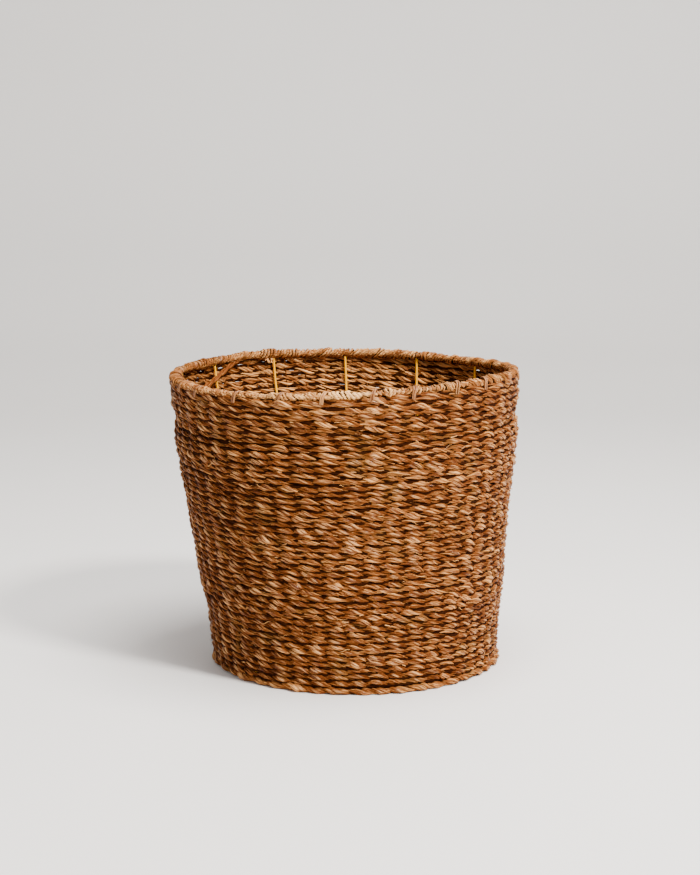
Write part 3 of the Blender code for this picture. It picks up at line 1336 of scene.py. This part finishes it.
@dataclass
class Lashings(SeagrassWork):
    """Pale strands that slant over the rim, two side by side, and hold it to the first courses.

    Those that show in front are given one by one, from the first of them on: how far each is turned from
    its even place, in degrees, and how pale it is. The others are drawn, and lie deeper in the whipping.
    """

    sides: int = 8
    reach: float = 0.0030
    tail_rise_share: float = 0.4
    sweep: tuple = (-20, 225)
    points: int = 13
    slant: float = 0.011
    slant_range: tuple = (0.7, 1.5)
    strand: float = 0.00125
    strand_spread: float = 0.14
    apart_share: float = 1.9
    wander_share: float = 0.3
    wander_rate: float = 5.0
    wander_starts: tuple = (0, 6)
    lumps: int = 8
    proud_share: float = 0.2
    buried_share: float = 1.8
    sunk: float = 0.0004
    front_turns: tuple = (3.3, 1.8, 2.1, 0.3, 1.0, -1.1)
    front_tones: tuple = (0.16, 0.56, 0.24, 0.26, 0.30, 0.24)
    front_first: int = 10
    turn_range: tuple = (-2.5, 2.5)
    tone_range: tuple = (0.10, 0.30)
    tone_spread: float = 0.07

    def section(self, sunk: float) -> np.ndarray:
        """Works out the path of a lashing across the rim.

        Args:
            sunk: how far it is drawn into the whipping.

        Returns:
            Rows of radius and height.
        """
        shape = self.shape
        turn = np.radians(np.linspace(*self.sweep, self.points))
        sink = self.strand * (self.proud_share - self.buried_share * np.linspace(0, 1, self.points)) - sunk
        wide = shape.rim_width / 2 + sink
        tall = shape.rim_roll / 2 + sink
        foot = shape.wall_top - self.reach
        out = float(shape.outer(np.array([shape.share_at(foot)]))[0])
        tail = [(out - self.strand / 2, foot), (out + self.strand, foot + self.tail_rise_share * self.reach)]
        over = (shape.rim_ring + wide * np.cos(turn), shape.rim_height + tall * np.sin(turn))
        return np.vstack([tail, np.column_stack(over)])

    def build(self) -> None:
        """Builds the lashings, each one piece."""
        nodes = sorted(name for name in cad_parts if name.startswith("rim_lashing"))
        for number, node in enumerate(nodes):
            front = number - self.front_first
            known = 0 <= front < len(self.front_turns)
            turn = self.front_turns[front] if known else self.chance.pick(self.turn_range)
            tone = self.front_tones[front] if known else self.chance.pick(self.tone_range)
            middle = (number + 0.5) * TAU / len(nodes) + math.radians(turn)
            self.build_one(node, middle, tone, 0.0 if known else self.sunk)

    def build_one(self, node: str, middle: float, tone: float, sunk: float) -> None:
        """Builds one lashing.

        Args:
            node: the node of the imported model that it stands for.
            middle: its angle round the rim.
            tone: how pale it is.
            sunk: how far it is drawn into the whipping.
        """
        section = self.section(sunk)
        piece = StrandPiece(node.replace("rim_", ""), self.sides)
        share = np.linspace(0.5, -0.5, len(section))
        slant = self.slant * self.chance.pick(self.slant_range)
        for side in (-0.5, 0.5):
            wander = share * self.wander_rate + self.chance.pick(self.wander_starts)
            shift = side * self.apart_share * self.strand * (1 + self.wander_share * np.sin(wander))
            angle = middle + (shift - slant * share) / self.shape.rim_ring
            knots = np.linspace(0, self.lumps - 2, len(share))
            lump = self.chance.eased(self.lumps, self.strand_spread, knots)
            points = self.shape.place(section[:, 0], angle, section[:, 1])
            paler = self.chance.rng.normal(0, self.tone_spread)
            piece.add(points, self.strand * (1 + lump), tone + paler)
        self.wardrobe.dress(piece.build(), Zone.LASHING, node)


@dataclass
class WireFrame:
    """The painted wire frame: two hoops, and uprights that lie bare against the inside of the wall."""

    shape: BasketShape
    wardrobe: Wardrobe
    sides: int = 16
    hoop_points: int = 144
    upright_points: int = 48

    def hoop(self, name: str, radius: float, height: float) -> None:
        """Builds one hoop.

        Args:
            name: the piece's name.
            radius: the radius of its middle line.
            height: the height of its middle line.
        """
        piece = StrandPiece(name, self.sides)
        around = np.arange(self.hoop_points) * TAU / self.hoop_points
        piece.add(self.shape.place(radius, around, height + 0 * around), self.shape.wire / 2, closed=True)
        self.wardrobe.dress(piece.build(), Zone.FRAME, f"frame_{name}")

    def build(self) -> None:
        """Builds the hoops and the uprights."""
        shape = self.shape
        reach = shape.wire / 2 + shape.clearance
        low = shape.base_thickness + reach
        foot = float(shape.inner_at(np.array([low]))[0]) - reach
        self.hoop("top_hoop", shape.hoop_radius, shape.rim_height)
        self.hoop("bottom_hoop", foot, low)
        heights = np.linspace(low + reach, shape.rim_height - reach, self.upright_points)
        bare = shape.inner_at(heights) - reach
        tuck_low = shape.wall_top - shape.tuck_height
        drawn = np.clip((heights - tuck_low) / shape.tuck_height, 0, 1)
        start = float(shape.inner_at(np.array([tuck_low]))[0]) - reach
        radius = np.where(heights > tuck_low, start + (shape.hoop_radius - start) * drawn, bare)
        for number in range(shape.uprights):
            name = f"upright_{number + 1:02d}"
            piece = StrandPiece(name, self.sides)
            angle = number * TAU / shape.uprights + 0 * heights
            piece.add(shape.place(radius, angle, heights), shape.wire / 2)
            self.wardrobe.dress(piece.build(), Zone.FRAME, f"frame_{name}")


@dataclass
class LooseEnds(SeagrassWork):
    """Frayed fibres, cut ends of plies, cut tails under the rim at the back and a tuft at the left foot.

    A pair of values holds the two ends between which one is drawn. Angles are in degrees, and a thinning is
    the share of its thickness that a fibre or an end loses towards its tip.
    """

    fray_sides: int = 4
    fray_points: int = 6
    frays: int = 380
    fray_heights_from: float = 0.006
    fray_lengths: tuple = (0.004, 0.014)
    fray_outs: tuple = (0, 0.0022)
    fray_out_power: float = 1.5
    fray_drops: tuple = (-0.5, 0.25)
    fray_drop_power: float = 1.4
    fray_curl: float = 0.0006
    fray_curl_rate: float = 7.0
    fray_radii: tuple = (0.00022, 0.00042)
    fray_thinning: float = 0.6
    fray_tones: tuple = (0.4, 1.0)
    off_floor: float = 0.0012
    tuft: int = 14
    tuft_angles: tuple = (88, 97)
    tuft_heights: tuple = (0.018, 0.028)
    tuft_length: float = 0.008
    tuft_outs: tuple = (0.002, 0.0055)
    tuft_growth: float = 1.5
    tuft_tones: tuple = (0.3, 0.7)
    end_sides: int = 6
    stubs: int = 110
    stub_points: int = 7
    stub_levels: tuple = (-0.2, 0.3)
    stub_outs: tuple = (0.0008, 0.0028)
    stub_out_power: float = 1.6
    stub_root: float = 0.0008
    stub_runs: tuple = (0.004, 0.009)
    stub_rises: tuple = (-0.0025, 0.0035)
    stub_rise_power: float = 1.5
    stub_radii: tuple = (0.0006, 0.0011)
    stub_thinning: float = 0.45
    stub_tones: tuple = (0.3, 0.75)
    tails: int = 8
    tail_angles: tuple = (28, 31)
    tail_drift: tuple = (-0.02, 0.03)
    tail_drops: tuple = (0.003, 0.008)
    tail_start: float = 0.001
    tail_lean: float = 0.002
    tail_radius: float = 0.0007
    tail_thinning: float = 0.4
    tail_tones: tuple = (0.7, 1.0)

    def fray(self, angle: float, height: float, length: float, out: float) -> tuple[np.ndarray, np.ndarray]:
        """One fibre that leaves the wall and curls.

        Args:
            angle: where it starts, round the basket.
            height: where it starts, above the floor.
            length: its length.
            out: how far it stands off the wall at its tip.

        Returns:
            Its points and its radii.
        """
        t = np.linspace(0, 1, self.fray_points)
        share = np.clip(self.shape.share_at(np.array([height])), 0, 1)
        radius = float(self.shape.outer(share)[0]) + out * t**self.fray_out_power
        run = length * t * self.chance.either_way() / radius
        curl = self.fray_curl * np.sin(t * self.fray_curl_rate)
        drop = length * self.chance.pick(self.fray_drops) * t**self.fray_drop_power + curl
        points = self.shape.place(radius, angle + run, np.maximum(height + drop, self.off_floor))
        return points, self.chance.pick(self.fray_radii) * (1 - self.fray_thinning * t)

    def stub(self) -> tuple[np.ndarray, np.ndarray]:
        """One cut end of a ply: it lies along its course, then turns out of the wall.

        Returns:
            Its points and its radii.
        """
        shape, chance = self.shape, self.chance
        t = np.linspace(0, 1, self.stub_points)
        share = (chance.rng.integers(1, shape.courses) + chance.pick(self.stub_levels)) / shape.courses
        height = float(shape.wall_z(share))
        radius = float(shape.outer(np.array([share]))[0])
        radius = radius + chance.pick(self.stub_outs) * t**self.stub_out_power - self.stub_root * (1 - t)
        run = chance.pick(self.stub_runs) * t * chance.either_way() / radius
        rise = chance.pick(self.stub_rises) * t**self.stub_rise_power
        points = shape.place(radius, chance.rng.uniform(0, TAU) + run, height + rise)
        return points, chance.pick(self.stub_radii) * (1 - self.stub_thinning * t)

    def tail(self) -> tuple[np.ndarray, np.ndarray]:
        """One cut tail that hangs under the rim, inside at the back.

        Returns:
            Its points and its radii.
        """
        shape, chance = self.shape, self.chance
        t = np.linspace(0, 1, self.fray_points)
        low = shape.wall_top + self.tail_start - chance.pick(self.tail_drops) * t
        radius = shape.rim_ring - shape.rim_width / 2 + self.tail_start - self.tail_lean * t
        angle = math.radians(chance.pick(self.tail_angles)) + chance.pick(self.tail_drift) * t
        return shape.place(radius, angle, low), self.tail_radius * (1 - self.tail_thinning * t)

    def build(self) -> None:
        """Builds the frays and the tuft as one piece, and the cut ends and tails as another."""
        shape, chance = self.shape, self.chance
        piece = StrandPiece("frayed_fibres", self.fray_sides)
        for _ in range(self.frays):
            height = chance.rng.uniform(self.fray_heights_from, shape.wall_top)
            angle, length = chance.rng.uniform(0, TAU), chance.pick(self.fray_lengths)
            points, radii = self.fray(angle, height, length, chance.pick(self.fray_outs))
            piece.add(points, radii, chance.pick(self.fray_tones))
        for _ in range(self.tuft):
            angle, height = math.radians(chance.pick(self.tuft_angles)), chance.pick(self.tuft_heights)
            points, radii = self.fray(angle, height, self.tuft_length, chance.pick(self.tuft_outs))
            piece.add(points, radii * self.tuft_growth, chance.pick(self.tuft_tones))
        self.wardrobe.dress(piece.build(), Zone.WALL)
        ends = StrandPiece("cut_ends", self.end_sides)
        for _ in range(self.stubs):
            ends.add(*self.stub(), chance.pick(self.stub_tones))
        for _ in range(self.tails):
            ends.add(*self.tail(), chance.pick(self.tail_tones))
        self.wardrobe.dress(ends.build(), Zone.WALL)


@dataclass
class SlackStrand(SeagrassWork):
    """The loose two-ply strand that crosses the inside wall at the back left.

    It starts low at the left, at an angle in degrees, and climbs to the rim along the sweep. A rate is how
    many radians of a wave its length holds.
    """

    sides: int = 8
    points: int = 64
    start: float = 79
    sweep: float = 35
    drift: float = 0.02
    drift_rate: float = 5.5
    low: float = 0.033
    climb: float = 0.034
    climb_power: float = 1.25
    wave: float = 0.0016
    wave_rate: float = 9
    off_wall: float = 0.0034
    bow: float = 0.003
    twist: float = 24
    apart: tuple = (0.0015, 0.0019)
    ply: float = 0.0023
    lump_share: float = 0.16
    lump_rate: float = 31
    thinning: float = 0.25
    sunk: float = 0.0028
    crest: float = 0.0072
    tone: float = 0.34

    def build(self) -> None:
        """Builds the strand."""
        shape = self.shape
        piece = StrandPiece("slack_strand", self.sides)
        t = np.linspace(0, 1, self.points)
        angle = np.radians(self.start - self.sweep * t) + self.drift * np.sin(self.drift_rate * t)
        height = shape.wall_top - self.low + self.climb * t**self.climb_power
        height = height + self.wave * np.sin(self.wave_rate * t)
        radius = shape.inner_at(height) - self.off_wall - self.bow * np.sin(math.pi * t)
        # The relief paints shade on the side that faces the wall and a highlight on the side that faces
        # inward.
        relief = Relief(shape.outward(angle), 0 * angle - self.sunk, self.crest)
        deep, tall = self.apart
        for side in (0.0, math.pi):
            turn = side - self.twist * t
            points = shape.place(radius + deep * np.cos(turn), angle, height + tall * np.sin(turn))
            lump = 1 + self.lump_share * np.sin(self.lump_rate * t + side) - self.thinning * t
            piece.add(points, self.ply * lump, self.tone, relief)
        self.wardrobe.dress(piece.build(), Zone.WALL)


@dataclass(frozen=True)
class Lamp:
    """A soft square light: its name, place, side, power in watts and colour."""

    name: str
    place: tuple
    size: float
    power: float
    colour: tuple

    def build(self, target: tuple) -> None:
        """Hangs the light.

        Args:
            target: the point that it faces.
        """
        data = bpy.data.lights.new(self.name, "AREA")
        data.size = self.size
        data.energy = self.power
        data.color = self.colour
        light = bpy.data.objects.new(self.name, data)
        light.location = self.place
        light.rotation_euler = (Vector(target) - Vector(self.place)).to_track_quat("-Z", "Y").to_euler()
        bpy.context.scene.collection.objects.link(light)


@dataclass(frozen=True)
class Studio:
    """The camera at the photograph's viewing angle, a pale floor and soft light."""

    distance: float = 2.205
    eye_height: float = 0.628
    eye_shift: float = 0.0066
    pitch: float = math.radians(9.2)
    lens: float = 75.7
    sensor: float = 36.0
    floor_colour: tuple = (0.90, 0.87, 0.84)
    floor_shade: float = 0.96
    floor_roughness: float = 0.6
    floor_width: float = 8.0
    floor_rows: tuple = ((-3.0, 0.0), (2.0, 0.0), (2.6, 0.06), (3.0, 0.3), (3.2, 0.8), (3.2, 3.0))
    sky_colour: tuple = (0.98, 0.99, 1.0, 1)
    sky_strength: float = 0.54
    target: tuple = (0, 0, 0.2)
    lamps: tuple = (
        Lamp("key_light", (1.7, -1.8, 2.6), 0.5, 205.0, (1.0, 0.97, 0.93)),
        Lamp("fill_light", (-1.9, -1.5, 1.2), 2.2, 2.0, (0.97, 0.98, 1.0)),
        Lamp("top_light", (0.4, -0.3, 2.4), 1.2, 90.0, (1.0, 0.98, 0.96)),
    )

    def build(self) -> None:
        """Makes the camera, the floor, the world and the lights."""
        self.camera()
        self.floor()
        self.world()
        for lamp in self.lamps:
            lamp.build(self.target)

    def camera(self) -> None:
        """Sets the camera up."""
        data = bpy.data.cameras.new("view")
        data.sensor_fit = "VERTICAL"
        data.sensor_height = self.sensor
        data.lens = self.lens
        camera = bpy.data.objects.new("view", data)
        camera.location = (self.eye_shift, -self.distance, self.eye_height)
        camera.rotation_euler = Euler((math.pi / 2 - self.pitch, 0, 0))
        bpy.context.scene.collection.objects.link(camera)
        bpy.context.scene.camera = camera

    def floor(self) -> None:
        """Lays a floor that curves up into a backdrop."""
        work = bmesh.new()
        edge = [work.verts.new((-self.floor_width / 2, y, z)) for y, z in self.floor_rows]
        lines = [work.edges.new(pair) for pair in zip(edge, edge[1:])]
        made = bmesh.ops.extrude_edge_only(work, edges=lines)
        moved = [item for item in made["geom"] if isinstance(item, bmesh.types.BMVert)]
        bmesh.ops.translate(work, verts=moved, vec=(self.floor_width, 0, 0))
        bmesh.ops.recalc_face_normals(work, faces=work.faces)
        mesh = bpy.data.meshes.new("floor")
        work.to_mesh(mesh)
        work.free()
        mesh.shade_smooth()
        graph = Graph("pale_floor")
        shade = tuple(part * self.floor_shade for part in self.floor_colour)
        colour = graph.blend(graph.noise(graph.place(), 3.0, 3.0), shade, self.floor_colour)
        graph.surface({"Base Color": colour, "Roughness": self.floor_roughness})
        mesh.materials.append(graph.material)
        floor = bpy.data.objects.new("floor", mesh)
        bpy.context.scene.collection.objects.link(floor)

    def world(self) -> None:
        """Lights the scene evenly from all round, faintly."""
        world = bpy.data.worlds.new("studio")
        world.use_nodes = True
        sky = world.node_tree.nodes["Background"].inputs
        sky["Color"].default_value = self.sky_colour
        sky["Strength"].default_value = self.sky_strength
        bpy.context.scene.world = world


def main() -> None:
    """Builds the basket piece by piece."""
    logging.basicConfig(level=logging.INFO, format="%(name)s: %(message)s")
    shape = BasketShape()
    wardrobe = Wardrobe()
    chance = Chance(SEED)
    Studio().build()
    WireFrame(shape, wardrobe).build()
    sway = chance.ripple(*STAKE_WAVES)
    for part in (Stakes, TwinedWall, HeelCourse, WovenBase, WhippedRim, Lashings, LooseEnds, SlackStrand):
        part(shape, wardrobe, chance, sway).build()


if __name__ == "__main__":
    main()
